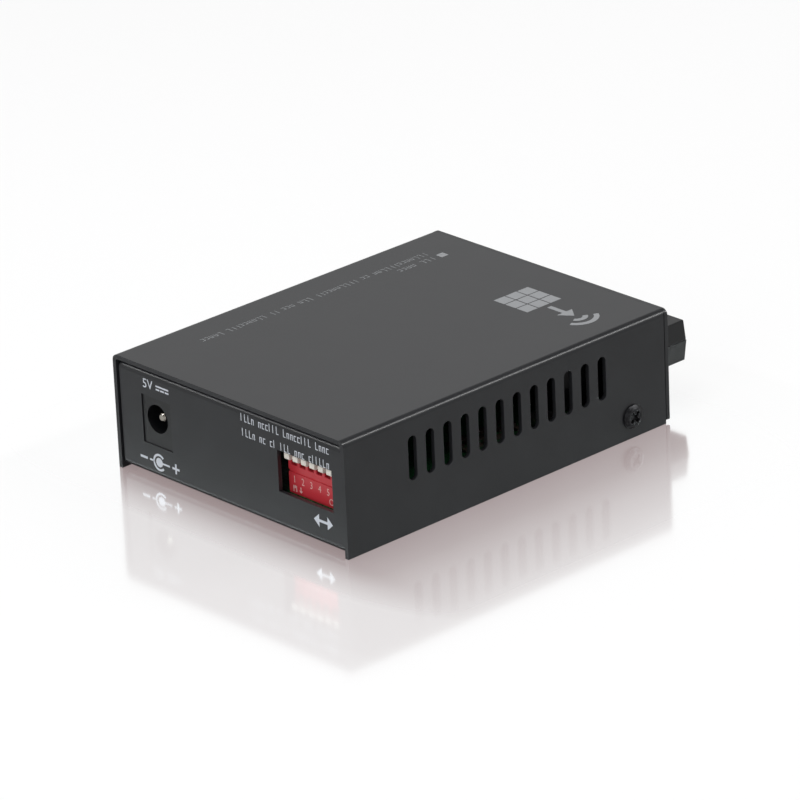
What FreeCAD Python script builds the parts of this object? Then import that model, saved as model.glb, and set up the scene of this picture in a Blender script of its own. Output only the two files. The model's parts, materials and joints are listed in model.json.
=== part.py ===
import FreeCAD, Part
import math
import os

# Fibre media converter: a folded steel box with a duplex fibre transceiver and a
# network jack in its front wall, and a power jack and a six-way switch in its rear wall.
# Millimetres. X runs across the case, the ports face -Y, Z is up from the surface that
# the cover's two lower edges stand on. The origin is the middle of the footprint.

Vector = FreeCAD.Vector

# ---- Case -----------------------------------------------------------------------------
CASE_LENGTH = 94.0
CASE_WIDTH = 71.4
CASE_HEIGHT = 26.1
SHEET = 1.0
BEND_INNER = 0.5            # inside radius of every fold
COVER_GAP = 0.4             # cover wall to chassis flange
BASE_LIFT = 0.8             # underside of the chassis floor above the cover's lower edges
REAR_INSET = 0.4            # rear wall inside the cover's rear end
ROOF_GAP = 0.5              # rear wall's top flange under the cover's roof
SIDE_FLANGE_HEIGHT = 8.6    # flange top above the chassis floor's underside
REAR_FLANGE_DEPTH = 6.0
FRONT_CORNER_RADIUS = 1.4
RELIEF = 0.7                # notch at each end of a fold

# ---- Cover vents and screws -----------------------------------------------------------
VENT_COUNT = 12
VENT_PITCH = 5.0
VENT_WIDTH = 2.4
VENT_LENGTH = 9.9
VENT_HEIGHT = 16.45         # middle of the row above the surface
VENT_ROW_SHIFT = 0.6        # row's middle behind the case's middle
COVER_SCREW_SETBACK = 11.4  # from the front wall's outer face
COVER_SCREW_HEIGHT = 5.0
SCREW_SHANK = 1.42          # radius of the shank in its tapped hole
TAPPED_HOLE = 1.5
SCREW_CLEARANCE_HOLE = 1.8
COVER_SCREW_HEAD = 2.7      # radius
COVER_SCREW_RISE = 0.95
COVER_SCREW_LENGTH = 4.2
COLLAR_WALL = 0.8           # drawn collar round a tapped hole
COLLAR_LENGTH = 0.8
RECESS_WIDTH = 0.8          # blade of the cross recess
RECESS_SPAN = 3.0
RECESS_TURN = 42.0          # degrees
RECESS_FLOOR = 0.25         # recess's floor, as a share of the head's height
HEAD_SIDE = 0.4             # upright part of the head's edge, as a share of its height
HEAD_CROWN = 0.7            # flat top's radius, as a share of the head's

# ---- Circuit board --------------------------------------------------------------------
BOARD_THICKNESS = 1.6
BOARD_SIDE_GAP = 1.0        # board edge to the inside of the chassis flange
BOARD_FRONT_GAP = 0.6
BOARD_CORNER_RADIUS = 1.0
STANDOFF_HEIGHT = 4.7
STANDOFF_FLATS = 5.5
STANDOFF_INSET = 3.6        # from the board's side edge
BOARD_HOLE = 1.6
BOARD_SCREW_HEAD = 2.7
BOARD_SCREW_RISE = 1.8
BOARD_SCREW_LENGTH = 5.0
BOARD_SCREW_MARGIN = 0.6    # head's edge to the nearest housing
LEAD = 0.5                  # thickness of a plain square lead
LEAD_PLAY = 0.12            # lead to the wall of its hole
LEAD_REACH = 1.4            # lead's tip under the board

# ---- Power jack -----------------------------------------------------------------------
JACK_INSET = 12.82          # jack's middle from the case's side
JACK_WIDTH = 9.0
JACK_HEIGHT = 10.9
JACK_LENGTH = 14.4
JACK_BEZEL = 3.4            # depth of the square front block
JACK_SETBACK = 0.25         # face behind the rear wall's outer face
JACK_BORE = 3.2             # radius
JACK_BORE_DEPTH = 10.0
JACK_AXIS_HEIGHT = 6.25     # above the board
JACK_PIN = 1.0              # radius
JACK_PIN_ROOT = 1.3         # radius of the knurled root in the housing
JACK_PIN_SETBACK = 1.3      # tip behind the rear wall's outer face
JACK_PIN_ROUND = 0.35
PANEL_PLAY = 0.08           # jack to its cut-out, each side
SPRING_WIDTH = 2.0
SPRING_THICKNESS = 0.3
SPRING_TURN = 40.0          # degrees round the bore from straight down
SPRING_BULGE = 0.45         # into the bore
TERMINAL_WIDTH = 2.2
TERMINAL_THICKNESS = 0.6

# ---- Switch ---------------------------------------------------------------------------
SWITCH_INSET = 12.6         # switch's middle from the case's side
SWITCH_WAYS = 6
SWITCH_PITCH = 2.54
SWITCH_END = 1.75           # last lever's middle to the body's end
SWITCH_HEIGHT = 10.6
SWITCH_DEPTH = 6.4
SWITCH_SETBACK = 2.77       # face behind the rear wall's outer face
SWITCH_SKIN = 0.7           # cover's wall
SWITCH_PLAY = 0.05          # base in cover, lever foot between them
GROOVE_HEIGHT = 4.95        # groove's middle above the board
GROOVE_WIDTH = 0.5
GROOVE_DEPTH = 0.3
LEVER_WIDTH = 1.5
LEVER_HEIGHT = 1.5
LEVER_RISE = 1.87           # tip in front of the switch's face
LEVER_TRAVEL = 1.8
LEVER_TOP = 9.8             # lever's upper edge above the board, at rest
LEVER_PLAY = 0.1            # lever to the ends and sides of its slot
LEVER_EDGE = 0.2            # broken edges of the tip
FOOT_EXTRA = 0.2            # lever's foot past the lever, each side
FOOT_THICKNESS = 0.9
WINDOW_PLAY = 0.1           # switch to its window, each side
WINDOW_SILL = 0.95          # window's lower edge above the board
WINDOW_HEAD = 10.3          # window's upper edge above the board

# ---- Duplex fibre transceiver ---------------------------------------------------------
PORT_OVERHANG = 11.9        # mouth in front of the front wall
FIBRE_X = -16.8
FIBRE_WIDTH = 25.4
FIBRE_LENGTH = 40.0
FIBRE_HEIGHT = 9.3
FIBRE_LIFT = 0.9            # underside above the board
FIBRE_DRAFT = 0.35          # each half narrows by this from the parting plane
FIBRE_PANEL_GAP = 0.35      # housing to its cut-out
PORT_PITCH = 12.7
PORT_WIDTH = 9.0
PORT_HEIGHT = 7.4
PORT_DEPTH = 14.5
KEYWAY_WIDTH = 2.3
KEYWAY_DEPTH = 0.5
FERRULE_BORE = 1.25
SLEEVE_RADIUS = 2.1
SLEEVE_LENGTH = 7.5         # sleeve in front of the port's floor
BARREL_CAN = 2.9            # radius
BARREL_CAN_LENGTH = 8.2
FIBRE_WALL = 1.0            # rear pocket's wall
FIBRE_BULKHEAD = 2.6        # wall between ports and rear pocket
BARREL_PLAY = 0.03
LATCH_ARM = 0.7
LATCH_HOOK = 0.55
LATCH_LENGTH = 6.2
HOOK_PEAK = 1.1             # behind the arm's tip
HOOK_LENGTH = 1.5
LATCH_PLATE = 1.0
LATCH_PLAY = 0.05
FIBRE_PINS = 9
PIN_PITCH = 2.54
FIBRE_PIN_INSET = 2.2       # pin row from the housing's rear end
FIBRE_POST = 1.2            # thickness of the two front posts
FIBRE_POST_INSET = 17.5     # posts from the housing's rear end
FIBRE_POST_SPREAD = 20.3
INNER_BOARD_THICKNESS = 1.0

# ---- Network jack ---------------------------------------------------------------------
NET_GAP = 3.8               # fibre housing to network jack
NET_WIDTH = 15.5
NET_HEIGHT = 13.0
NET_LENGTH = 20.8
NET_SHIELD = 0.25
NET_PLAY = 0.05             # housing in shield
NET_PROUD = 0.2             # shield in front of the front wall
NET_PANEL_GAP = 0.25
PLUG_WIDTH = 11.8
PLUG_HEIGHT = 7.0
NET_ROOF = 1.8              # housing above the plug opening
PLUG_DEPTH = 13.0
TAB_WIDTH = 6.2
TAB_HEIGHT = 1.5
TAB_SLOT_WIDTH = 3.6
TAB_SLOT_HEIGHT = 1.1
CONTACTS = 8
CONTACT_PITCH = 1.02
CONTACT_WIDTH = 0.35
CONTACT_SLOPE = 5.6         # length of the slanted spring
CONTACT_DROP = 2.6
CONTACT_RISE = 0.2          # contacts' top above the opening
CONTACT_ROOT = 0.4          # spring's root in front of the opening's back
CONTACT_ROW = 3.0           # first lead row from the housing's back
SHIELD_TAB = 1.6

# ---- Lamps ----------------------------------------------------------------------------
LAMP_COLUMNS = 3
LAMP_ROWS = 2
LAMP_WIDTH = 2.0
LAMP_HEIGHT = 4.6
LAMP_GAP = 1.6              # between columns
LAMP_ROW_GAP = 1.8
LAMP_LENGTH = 6.4
LAMP_EDGE = 0.25            # broken edge of the lens's front
LAMP_PROUD = 0.5            # lens in front of the front wall
LAMP_HOLE_PLAY = 0.1
LAMP_SILL = 1.6             # lower row's underside above the board
HOLDER_GAP = 2.2            # network jack to lamp holder
HOLDER_WALL = 0.8
HOLDER_DEPTH = 7.0
HOLDER_PANEL_GAP = 0.3
LAMP_PLAY = 0.03

# ---- Parts on the board ---------------------------------------------------------------
CHIP_SIZE = 14.0
CHIP_HEIGHT = 1.5
CHIP_INSET = 2.5            # chip's middle from the line of the fibre housing's side
CHIP_SETBACK = 18.5         # chip's middle behind the fibre housing
CHIP_LEAD_COUNT = 8          # along each side
CHIP_LEAD_PITCH = 1.4
CHIP_LEAD_WIDTH = 0.45
CHIP_LEAD_REACH = 1.0
TRANSFORMER = (12.7, 7.1, 5.4)
TRANSFORMER_SETBACK = 3.2
TRANSFORMER_LEAD_COUNT = 8
CRYSTAL_LENGTH = 11.4
CRYSTAL_WIDTH = 4.7
CRYSTAL_HEIGHT = 3.5
CRYSTAL_SHIFT = 3.0
INDUCTOR_SIZE = 7.2
INDUCTOR_HEIGHT = 3.6
INDUCTOR_CORNER = 1.15
CORE_RADIUS = 2.6
CORE_RISE = 0.4             # core above the shield
INDUCTOR_PLACE = (12.0, 11.0)  # from the power jack's middle and rear
REGULATOR = (6.5, 5.6, 2.3)
REGULATOR_SETBACK = 15.0
REGULATOR_TAB = 5.4         # width of its heat tab
REGULATOR_FOOT = 0.8
REGULATOR_PITCH = 2.3
TAB_REACH = 1.4             # tab past the body
FOOT_REACH = 2.2
CAPACITOR_RADIUS = 3.15
CAPACITOR_HEIGHT = 8.0
CAPACITOR_BASE = 6.6
JACK_CAPACITORS = ((4.0, 25.0), (-10.0, 1.5))
SWITCH_CAPACITOR = (14.0, 19.0)
CAPACITOR_BASE_HEIGHT = 0.9
CHIP_PART = (2.0, 1.25, 0.6)
CHIP_PART_PLACE = (6.0, 9.0)   # first one from the fibre housing's middle and rear
CHIP_PART_PITCH = (2.4, 3.0)
CHIP_PART_COLUMNS = 3
CHIP_PART_ROWS = 6
SEAT = 0.1                  # body of a surface part above the board
LEAD_FRAME = 0.3            # thickness of a surface part's feet

# ---- Worked out -----------------------------------------------------------------------
BEND_OUTER = BEND_INNER + SHEET
REAR_Y = (CASE_LENGTH + PORT_OVERHANG) / 2
FRONT_Y = REAR_Y - CASE_LENGTH
MID_Y = (FRONT_Y + REAR_Y) / 2
MOUTH_Y = FRONT_Y - PORT_OVERHANG
HALF_WIDTH = CASE_WIDTH / 2
JACK_X = HALF_WIDTH - JACK_INSET
SWITCH_X = SWITCH_INSET - HALF_WIDTH
WALL_INNER_X = HALF_WIDTH - SHEET
TRAY_X = WALL_INNER_X - COVER_GAP
TRAY_INNER_X = TRAY_X - SHEET
FLOOR_Z = BASE_LIFT + SHEET
ROOF_Z = CASE_HEIGHT - SHEET
REAR_TOP_Z = ROOF_Z - ROOF_GAP
FRONT_INNER_Y = FRONT_Y + SHEET
REAR_WALL_Y = REAR_Y - REAR_INSET
REAR_INNER_Y = REAR_WALL_Y - SHEET
FLANGE_TOP_Z = BASE_LIFT + SIDE_FLANGE_HEIGHT
BOARD_Z = FLOOR_Z + STANDOFF_HEIGHT
BOARD_TOP = BOARD_Z + BOARD_THICKNESS
BOARD_X = TRAY_INNER_X - BOARD_SIDE_GAP
BOARD_FRONT = FRONT_INNER_Y + BOARD_FRONT_GAP
SWITCH_FACE_Y = REAR_WALL_Y - SWITCH_SETBACK
BOARD_REAR = SWITCH_FACE_Y
JACK_FACE_Y = REAR_WALL_Y - JACK_SETBACK
JACK_REAR_Y = JACK_FACE_Y - JACK_LENGTH
JACK_AXIS_Z = BOARD_TOP + JACK_AXIS_HEIGHT
FIBRE_REAR = MOUTH_Y + FIBRE_LENGTH
FIBRE_Z = BOARD_TOP + FIBRE_LIFT
PARTING_Z = FIBRE_Z + FIBRE_HEIGHT / 2
NET_X = FIBRE_X + FIBRE_WIDTH / 2 + NET_GAP + NET_WIDTH / 2
NET_FRONT = FRONT_Y - NET_PROUD + NET_SHIELD
NET_REAR = NET_FRONT + NET_LENGTH
HOLDER_WIDTH = LAMP_COLUMNS * (LAMP_WIDTH + LAMP_GAP) - LAMP_GAP + 2 * HOLDER_WALL
PLUG_TOP = BOARD_TOP + NET_HEIGHT - NET_ROOF
PLUG_LOW = PLUG_TOP - PLUG_HEIGHT
CONTACT_TOP = PLUG_TOP + CONTACT_RISE
HOLDER_X = NET_X + NET_WIDTH / 2 + HOLDER_GAP + HOLDER_WIDTH / 2
STANDOFF_X = BOARD_X - STANDOFF_INSET
STANDOFF_FRONT = FIBRE_REAR + BOARD_SCREW_HEAD + BOARD_SCREW_MARGIN
STANDOFF_REAR = JACK_REAR_Y - BOARD_SCREW_HEAD - BOARD_SCREW_MARGIN


# ---- Helpers --------------------------------------------------------------------------
def block(x0, x1, y0, y1, z0, z1):
    return Part.makeBox(x1 - x0, y1 - y0, z1 - z0, Vector(x0, y0, z0))


def centred(x, y, z, width, depth, height):
    """Box standing on z, with its middle at x, y."""
    return block(x - width / 2, x + width / 2, y - depth / 2, y + depth / 2, z, z + height)


def rod(radius, x, y, z, direction, length):
    return Part.makeCylinder(radius, length, Vector(x, y, z), Vector(*direction))


def prism(points, push):
    """Polygon pushed along a vector."""
    wire = Part.makePolygon([Vector(*p) for p in points + points[:1]])
    return Part.Face(wire).extrude(Vector(*push))


def lathe(profile, x, y, z, direction):
    """Solid of revolution: profile holds (radius, distance along the axis)."""
    points = [Vector(r, 0, t) for r, t in profile]
    face = Part.Face(Part.makePolygon(points + points[:1]))
    solid = face.revolve(Vector(0, 0, 0), Vector(0, 0, 1), 360)
    turn = FreeCAD.Rotation(Vector(0, 0, 1), Vector(*direction))
    solid.Placement = FreeCAD.Placement(Vector(x, y, z), turn)
    return solid


def runs_along(edge, axis):
    """True for a straight edge along 'x', 'y' or 'z'."""
    if len(edge.Vertexes) != 2:
        return False
    start, end = (v.Point for v in edge.Vertexes)
    along = {"x": Vector(1, 0, 0), "y": Vector(0, 1, 0), "z": Vector(0, 0, 1)}[axis]
    return abs(abs((end - start).normalize().dot(along)) - 1) < 1e-6


def fillet(shape, radius, axis, test=lambda middle: True):
    """Round the straight edges along an axis whose middle passes the test."""
    edges = [e for e in shape.Edges if runs_along(e, axis) and test(e.CenterOfMass)]
    return shape.makeFillet(radius, edges)


def obround(x0, x1, y, z, width, length):
    """Upright slot cutter from x0 to x1."""
    radius = width / 2
    straight = length / 2 - radius
    left, right = y - radius, y + radius
    low, high = z - straight, z + straight
    edges = [Part.LineSegment(Vector(x0, right, low), Vector(x0, right, high)),
             Part.Arc(Vector(x0, right, high), Vector(x0, y, high + radius), Vector(x0, left, high)),
             Part.LineSegment(Vector(x0, left, high), Vector(x0, left, low)),
             Part.Arc(Vector(x0, left, low), Vector(x0, y, low - radius), Vector(x0, right, low))]
    wire = Part.Wire([edge.toShape() for edge in edges])
    return Part.Face(wire).extrude(Vector(x1 - x0, 0, 0))


def save(node, *solids):
    shape = solids[0] if len(solids) == 1 else Part.makeCompound(list(solids))
    shape.exportStep("parts/" + node + ".step")


# ---- Case -----------------------------------------------------------------------------
def cover_screw_places():
    """Side, y and z of each cover screw."""
    return [(side, FRONT_Y + COVER_SCREW_SETBACK, COVER_SCREW_HEIGHT) for side in (-1, 1)]


def top_cover():
    """Folded steel lid: a roof and two side walls with their vents."""
    outer = block(-HALF_WIDTH, HALF_WIDTH, FRONT_INNER_Y, REAR_Y, 0, CASE_HEIGHT)
    outer = fillet(outer, BEND_OUTER, "y", lambda m: m.z > ROOF_Z)
    inner = block(-WALL_INNER_X, WALL_INNER_X, FRONT_INNER_Y - SHEET, REAR_Y + SHEET, -SHEET, ROOF_Z)
    inner = fillet(inner, BEND_INNER, "y", lambda m: m.z > 0)
    cover = outer.cut(inner)
    first = MID_Y + VENT_ROW_SHIFT - (VENT_COUNT - 1) * VENT_PITCH / 2
    cutters = []
    for side in (-1, 1):
        x0, x1 = sorted((side * (WALL_INNER_X - SHEET), side * (HALF_WIDTH + SHEET)))
        for i in range(VENT_COUNT):
            y = first + i * VENT_PITCH
            cutters.append(obround(x0, x1, y, VENT_HEIGHT, VENT_WIDTH, VENT_LENGTH))
    for side, y, z in cover_screw_places():
        start = side * (WALL_INNER_X - SHEET)
        cutters.append(rod(SCREW_CLEARANCE_HOLE, start, y, z, (side, 0, 0), 3 * SHEET))
    return cover.cut(cutters)


def folded_shell(y0, y1, z1, half_width):
    """Floor with a front wall, a rear wall and a roof, folded from one strip."""
    outer = block(-half_width, half_width, y0, y1, BASE_LIFT, z1)
    outer = fillet(outer, BEND_OUTER, "x")
    inner = block(-half_width - 1, half_width + 1, y0 + SHEET, y1 - SHEET, FLOOR_Z, z1 - SHEET)
    return outer.cut(fillet(inner, BEND_INNER, "x"))


def front_wall():
    """Upper part of the front wall, as wide and tall as the cover, and its lower ears."""
    fold_z = BASE_LIFT + BEND_OUTER
    wall = block(-HALF_WIDTH, HALF_WIDTH, FRONT_Y, FRONT_INNER_Y, fold_z, CASE_HEIGHT)
    wall = fillet(wall, FRONT_CORNER_RADIUS, "y", lambda m: m.z > ROOF_Z)
    ears = []
    for side in (-1, 1):
        x0, x1 = sorted((side * (TRAY_X + RELIEF), side * HALF_WIDTH))
        ears.append(block(x0, x1, FRONT_Y, FRONT_INNER_Y, BASE_LIFT, fold_z))
    return wall.fuse(ears)


def side_flanges():
    """Floor between its two side flanges, with a collar for each cover screw."""
    y0 = FRONT_INNER_Y + BEND_INNER + RELIEF
    y1 = REAR_INNER_Y - BEND_INNER - RELIEF
    outer = block(-TRAY_X, TRAY_X, y0, y1, BASE_LIFT, FLANGE_TOP_Z)
    outer = fillet(outer, BEND_OUTER, "y", lambda m: m.z < FLOOR_Z)
    inner = block(-TRAY_INNER_X, TRAY_INNER_X, y0 - 1, y1 + 1, FLOOR_Z, FLANGE_TOP_Z + SHEET)
    channel = outer.cut(fillet(inner, BEND_INNER, "y", lambda m: m.z < FLANGE_TOP_Z))
    for side, y, z in cover_screw_places():
        start = side * (TRAY_INNER_X + SHEET / 2)
        length = SHEET / 2 + COLLAR_LENGTH
        channel = channel.fuse(rod(TAPPED_HOLE + COLLAR_WALL, start, y, z, (-side, 0, 0), length))
    return channel


def lamp_places():
    """X and z of each lamp's middle, row by row."""
    places = []
    for row in range(LAMP_ROWS):
        for column in range(LAMP_COLUMNS):
            x = HOLDER_X + (column - (LAMP_COLUMNS - 1) / 2) * (LAMP_WIDTH + LAMP_GAP)
            rise = LAMP_SILL + LAMP_HEIGHT / 2 + row * (LAMP_HEIGHT + LAMP_ROW_GAP)
            places.append((x, BOARD_TOP + rise))
    return places


def lamp_block(x, z, y0, y1, grow=0.0):
    """Space of a lamp between two y limits, larger all round by grow."""
    return block(x - LAMP_WIDTH / 2 - grow, x + LAMP_WIDTH / 2 + grow, y0, y1,
                 z - LAMP_HEIGHT / 2 - grow, z + LAMP_HEIGHT / 2 + grow)


def standoff_places():
    return [(side * STANDOFF_X, y) for side in (-1, 1) for y in (STANDOFF_FRONT, STANDOFF_REAR)]


def wall_cutters():
    """Openings of the front and rear walls, and the flanges' tapped holes."""
    y0, y1 = FRONT_Y - SHEET, FRONT_INNER_Y + SHEET
    gap = FIBRE_PANEL_GAP
    cutters = [block(FIBRE_X - FIBRE_WIDTH / 2 - gap, FIBRE_X + FIBRE_WIDTH / 2 + gap, y0, y1,
                     FIBRE_Z - gap, FIBRE_Z + FIBRE_HEIGHT + gap)]
    half = NET_WIDTH / 2 + NET_PLAY + NET_SHIELD + NET_PANEL_GAP
    top = BOARD_TOP + NET_HEIGHT + NET_PLAY + NET_SHIELD + NET_PANEL_GAP
    cutters.append(block(NET_X - half, NET_X + half, y0, y1, BOARD_TOP - NET_PANEL_GAP, top))
    for x, z in lamp_places():
        cutters.append(lamp_block(x, z, y0, y1, LAMP_HOLE_PLAY))
    y0, y1 = REAR_INNER_Y - SHEET, REAR_Y
    half = JACK_WIDTH / 2 + PANEL_PLAY
    cutters.append(block(JACK_X - half, JACK_X + half, y0, y1,
                         BOARD_TOP, BOARD_TOP + JACK_HEIGHT + PANEL_PLAY))
    half = switch_length() / 2 + WINDOW_PLAY
    cutters.append(block(SWITCH_X - half, SWITCH_X + half, y0, y1,
                         BOARD_TOP + WINDOW_SILL, BOARD_TOP + WINDOW_HEAD))
    for side, y, z in cover_screw_places():
        start = side * (TRAY_INNER_X - COLLAR_LENGTH - SHEET)
        cutters.append(rod(TAPPED_HOLE, start, y, z, (side, 0, 0), COLLAR_LENGTH + 3 * SHEET))
    return cutters


def chassis_tray():
    """One folded sheet: floor, side flanges, front wall, and rear wall with a top flange."""
    shell = folded_shell(FRONT_Y, REAR_WALL_Y, REAR_TOP_Z, TRAY_X)
    roof_end = REAR_WALL_Y - REAR_FLANGE_DEPTH
    shell = shell.cut(block(-CASE_WIDTH, CASE_WIDTH, FRONT_Y - 1, roof_end,
                            BASE_LIFT + BEND_OUTER + SHEET, CASE_HEIGHT))
    for side in (-1, 1):
        x0, x1 = sorted((side * (TRAY_X - BEND_OUTER), side * CASE_WIDTH))
        shell = shell.cut(block(x0, x1, FRONT_INNER_Y + BEND_INNER, REAR_INNER_Y - BEND_INNER,
                                0, FLOOR_Z + BEND_INNER))
    return shell.fuse([front_wall(), side_flanges()]).removeSplitter().cut(wall_cutters())


def cover_screws():
    """Low pan heads with a cross recess outside the cover's walls, on plain shanks."""
    head, rise = COVER_SCREW_HEAD, COVER_SCREW_RISE
    pattern = lathe([(0, -COVER_SCREW_LENGTH), (SCREW_SHANK, -COVER_SCREW_LENGTH),
                     (SCREW_SHANK, 0), (head, 0), (head, rise * HEAD_SIDE),
                     (head * HEAD_CROWN, rise), (0, rise)], 0, 0, 0, (0, 0, 1))
    low = rise * RECESS_FLOOR
    recess = centred(0, 0, low, RECESS_WIDTH, RECESS_SPAN, rise)
    recess = recess.fuse(centred(0, 0, low, RECESS_SPAN, RECESS_WIDTH, rise))
    recess.rotate(Vector(0, 0, 0), Vector(0, 0, 1), RECESS_TURN)
    pattern = pattern.cut(recess)
    made = []
    for side, y, z in cover_screw_places():
        screw = pattern.copy()
        turn = FreeCAD.Rotation(Vector(0, 0, 1), Vector(side, 0, 0))
        screw.Placement = FreeCAD.Placement(Vector(side * HALF_WIDTH, y, z), turn)
        made.append(screw)
    return made


# ---- Circuit board --------------------------------------------------------------------
def circuit_board(leads):
    """Board with rounded corners, its four screw holes and a hole for each lead."""
    board = block(-BOARD_X, BOARD_X, BOARD_FRONT, BOARD_REAR, BOARD_Z, BOARD_TOP)
    board = fillet(board, BOARD_CORNER_RADIUS, "z")
    cutters = [rod(BOARD_HOLE, x, y, BOARD_Z - 1, (0, 0, 1), BOARD_THICKNESS + 2)
               for x, y in standoff_places()]
    for x, y, width, depth in leads:
        cutters.append(centred(x, y, BOARD_Z - 1, width + 2 * LEAD_PLAY, depth + 2 * LEAD_PLAY,
                               BOARD_THICKNESS + 2))
    return board.cut(cutters)


def standoffs():
    """Hexagonal standoffs welded to the floor."""
    corner = STANDOFF_FLATS / math.sqrt(3)
    corners = [(corner * math.cos(math.radians(60 * i)), corner * math.sin(math.radians(60 * i)))
               for i in range(6)]
    made = []
    for x, y in standoff_places():
        hexagon = prism([(x + a, y + b, FLOOR_Z) for a, b in corners], (0, 0, STANDOFF_HEIGHT))
        made.append(hexagon.cut(rod(TAPPED_HOLE, x, y, FLOOR_Z - 1, (0, 0, 1), BOARD_Z)))
    return made


def board_screws():
    """Flat-headed screws that hold the board down on its standoffs."""
    made = []
    for x, y in standoff_places():
        shank = rod(SCREW_SHANK, x, y, BOARD_TOP - BOARD_SCREW_LENGTH, (0, 0, 1), BOARD_SCREW_LENGTH)
        made.append(shank.fuse(rod(BOARD_SCREW_HEAD, x, y, BOARD_TOP, (0, 0, 1), BOARD_SCREW_RISE)))
    return made


def lead(x, y, top, width=LEAD, depth=LEAD):
    """Lead from a housing down through the board."""
    low = BOARD_Z - LEAD_REACH
    return centred(x, y, low, width, depth, top - low)


# ---- Power jack -----------------------------------------------------------------------
def jack_leads():
    """X, y, width and depth of each terminal in the board: pin, then spring."""
    out = JACK_BORE + SPRING_THICKNESS
    return [(JACK_X, JACK_REAR_Y - TERMINAL_THICKNESS / 2, TERMINAL_WIDTH, TERMINAL_THICKNESS),
            (JACK_X - out * math.sin(math.radians(SPRING_TURN)),
             JACK_FACE_Y - JACK_BORE_DEPTH + TERMINAL_THICKNESS, TERMINAL_WIDTH, TERMINAL_THICKNESS)]


def spring_channel(grow):
    """Space of the spring strip beside the bore, and a way down for its terminal."""
    half = SPRING_WIDTH / 2 + grow
    y0 = JACK_FACE_Y - JACK_BORE_DEPTH
    y1 = JACK_FACE_Y - JACK_BEZEL / 2
    low = JACK_BORE + 2 * SPRING_THICKNESS + grow
    channel = block(JACK_X - half, JACK_X + half, y0, y1, JACK_AXIS_Z - low, JACK_AXIS_Z)
    channel.rotate(Vector(JACK_X, 0, JACK_AXIS_Z), Vector(0, 1, 0), SPRING_TURN)
    return channel


def dc_jack_housing():
    """Moulded jack: a square bezel block and a round-topped barrel with the plug's bore."""
    half = JACK_WIDTH / 2
    bezel = block(JACK_X - half, JACK_X + half, JACK_FACE_Y - JACK_BEZEL, JACK_FACE_Y,
                  BOARD_TOP, BOARD_TOP + JACK_HEIGHT)
    barrel = block(JACK_X - half, JACK_X + half, JACK_REAR_Y, JACK_FACE_Y - JACK_BEZEL,
                   BOARD_TOP, JACK_AXIS_Z)
    arch = rod(half, JACK_X, JACK_REAR_Y, JACK_AXIS_Z, (0, 1, 0), JACK_LENGTH - JACK_BEZEL)
    bore = rod(JACK_BORE, JACK_X, JACK_FACE_Y - JACK_BORE_DEPTH, JACK_AXIS_Z, (0, 1, 0),
               JACK_BORE_DEPTH + 1)
    slot_x, slot_y, width, depth = jack_leads()[1]
    slot = block(slot_x - width / 2 - LEAD_PLAY, slot_x + width / 2 + LEAD_PLAY,
                 slot_y - depth / 2 - LEAD_PLAY, slot_y + depth / 2 + LEAD_PLAY,
                 BOARD_TOP - 1, JACK_AXIS_Z - JACK_BORE / 2)
    pin_hole = rod(JACK_PIN_ROOT, JACK_X, JACK_REAR_Y - 1, JACK_AXIS_Z, (0, 1, 0), JACK_LENGTH)
    return bezel.fuse([barrel, arch]).removeSplitter().cut([bore, spring_channel(0.1), slot, pin_hole])


def dc_jack_centre_pin():
    """Turned pin staked to a terminal blade on the housing's rear face."""
    x, y, width, depth = jack_leads()[0]
    tip_y = REAR_WALL_Y - JACK_PIN_SETBACK
    length = tip_y - JACK_REAR_Y
    root = JACK_LENGTH - JACK_BORE_DEPTH
    pin = lathe([(0, 0), (JACK_PIN_ROOT, 0), (JACK_PIN_ROOT, root), (JACK_PIN, root),
                 (JACK_PIN, length - JACK_PIN_ROUND),
                 (JACK_PIN - JACK_PIN_ROUND, length), (0, length)],
                JACK_X, JACK_REAR_Y, JACK_AXIS_Z, (0, 1, 0))
    return pin.fuse(lead(x, y, JACK_AXIS_Z + JACK_PIN * 1.6, width, depth))


def dc_jack_spring_contact():
    """Bent strip that bulges into the bore, on a terminal of its own."""
    y0 = JACK_FACE_Y - JACK_BORE_DEPTH + 0.1
    y1 = JACK_FACE_Y - JACK_BEZEL / 2 - 0.1
    out = JACK_AXIS_Z - JACK_BORE - 2 * SPRING_THICKNESS
    into = JACK_AXIS_Z - JACK_BORE + SPRING_BULGE - SPRING_THICKNESS
    middle = y0 + (y1 - y0) * 0.65
    line = [(y0, out), (middle, into), (y1, out)]
    strip = prism([(JACK_X - SPRING_WIDTH / 2, y, z) for y, z in line]
                  + [(JACK_X - SPRING_WIDTH / 2, y, z + SPRING_THICKNESS) for y, z in line[::-1]],
                  (SPRING_WIDTH, 0, 0))
    strip.rotate(Vector(JACK_X, 0, JACK_AXIS_Z), Vector(0, 1, 0), SPRING_TURN)
    x, y, width, depth = jack_leads()[1]
    drop = (JACK_BORE + SPRING_THICKNESS) * math.cos(math.radians(SPRING_TURN))
    return strip.fuse(lead(x, y, JACK_AXIS_Z - drop, width, depth))


# ---- Switch ---------------------------------------------------------------------------
def switch_length():
    return (SWITCH_WAYS - 1) * SWITCH_PITCH + 2 * SWITCH_END


def lever_places():
    """X of each lever, the first way at the left as seen from the rear."""
    first = SWITCH_X + (SWITCH_WAYS - 1) * SWITCH_PITCH / 2
    return [first - i * SWITCH_PITCH for i in range(SWITCH_WAYS)]


def foot_space():
    """Y and z limits of the room that the levers' feet slide in."""
    y1 = SWITCH_FACE_Y - SWITCH_SKIN
    y0 = y1 - FOOT_THICKNESS - 2 * SWITCH_PLAY
    top = BOARD_TOP + LEVER_TOP + FOOT_EXTRA + LEVER_PLAY
    bottom = BOARD_TOP + LEVER_TOP - LEVER_HEIGHT - LEVER_TRAVEL - FOOT_EXTRA - LEVER_PLAY
    return y0, y1, bottom, top


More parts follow.
